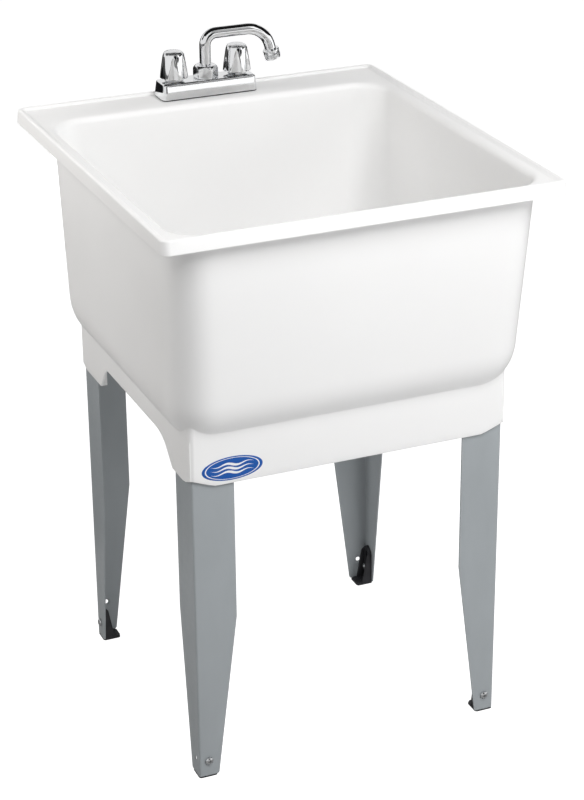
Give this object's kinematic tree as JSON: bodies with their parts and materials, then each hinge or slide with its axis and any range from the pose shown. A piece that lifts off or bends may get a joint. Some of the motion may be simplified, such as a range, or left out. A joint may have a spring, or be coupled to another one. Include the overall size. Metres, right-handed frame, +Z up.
{
  "type": "utility laundry sink",
  "caption": "Free-standing moulded utility sink on folded steel legs with levelling feet, a knob-handled deck faucet with swivel spout, and a plugged drain.",
  "frame": {"origin": "on the floor, under the middle of the tub's rim", "axes": "+Z up; the front of the tub faces -Y and the faucet stands at the +Y edge; +X is to the right seen from the front"},
  "size_m": [0.584, 0.635, 0.946],
  "materials": {
    "tub": "warm white moulded plastic, soft gloss",
    "leg": "mid grey paint on folded sheet steel, satin",
    "black": "near-black moulded plastic, matte",
    "zinc": "bright zinc plate",
    "chrome": "bright chrome plate",
    "brass": "machined brass",
    "rubber": "black rubber, matte",
    "steel": "stainless steel, satin",
    "nylon": "natural nylon"
  },
  "bodies": {
    "tub": {"tub": "tub", "leg_front_left": "leg", "leg_front_right": "leg", "leg_rear_right": "leg", "leg_rear_left": "leg", "foot_screw_front_left": "zinc", "foot_screw_front_right": "zinc", "foot_screw_rear_right": "zinc", "foot_screw_rear_left": "zinc", "foot_nut_front_left": "zinc", "foot_nut_front_right": "zinc", "foot_nut_rear_right": "zinc", "foot_nut_rear_left": "zinc", "drain_strainer": "steel", "drain_gasket": "rubber", "drain_lock_nut": "black", "tailpiece_washer": "nylon", "tailpiece": "chrome", "slip_nut": "chrome", "faucet_gasket": "rubber", "faucet_cover": "chrome", "faucet_waterway": "brass", "hot_cartridge": "brass", "hot_bonnet_nut": "zinc", "hot_shank_washer": "steel", "hot_lock_nut": "nylon", "cold_cartridge": "brass", "cold_bonnet_nut": "zinc", "cold_shank_washer": "steel", "cold_lock_nut": "nylon", "spout_seal": "rubber", "spout_nut": "chrome"},
    "foot_front_left": {"foot_front_left": "black"},
    "foot_front_right": {"foot_front_right": "black"},
    "foot_rear_right": {"foot_rear_right": "black"},
    "foot_rear_left": {"foot_rear_left": "black"},
    "stopper": {"drain_stopper": "rubber"},
    "hot_handle": {"hot_handle": "chrome", "hot_handle_cap": "chrome", "hot_handle_screw": "zinc", "hot_stem": "brass"},
    "cold_handle": {"cold_handle": "chrome", "cold_handle_cap": "chrome", "cold_handle_screw": "zinc", "cold_stem": "brass"},
    "spout": {"spout": "chrome", "hose_end": "chrome"}
  },
  "joints": [
    {"name": "foot_front_left_slide", "type": "slide", "parent": "tub", "child": "foot_front_left", "axis": [0, 0, 1], "range_m": [-0.025, 0]},
    {"name": "foot_front_right_slide", "type": "slide", "parent": "tub", "child": "foot_front_right", "axis": [0, 0, 1], "range_m": [-0.025, 0]},
    {"name": "foot_rear_right_slide", "type": "slide", "parent": "tub", "child": "foot_rear_right", "axis": [0, 0, 1], "range_m": [-0.025, 0]},
    {"name": "foot_rear_left_slide", "type": "slide", "parent": "tub", "child": "foot_rear_left", "axis": [0, 0, 1], "range_m": [-0.025, 0]},
    {"name": "stopper_lift", "type": "slide", "parent": "tub", "child": "stopper", "axis": [0, 0, 1], "range_m": [0, 0.05]},
    {"name": "hot_handle_turn", "type": "hinge", "parent": "tub", "child": "hot_handle", "pos_m": [-0.0508, 0.284, 0.89], "axis": [0, 0, 1], "range_deg": [0, 90]},
    {"name": "cold_handle_turn", "type": "hinge", "parent": "tub", "child": "cold_handle", "pos_m": [0.0508, 0.284, 0.89], "axis": [0, 0, 1], "range_deg": [-90, 0]},
    {"name": "spout_swivel", "type": "hinge", "parent": "tub", "child": "spout", "pos_m": [0, 0.284, 0.9], "axis": [0, 0, 1], "continuous": true}
  ]
}
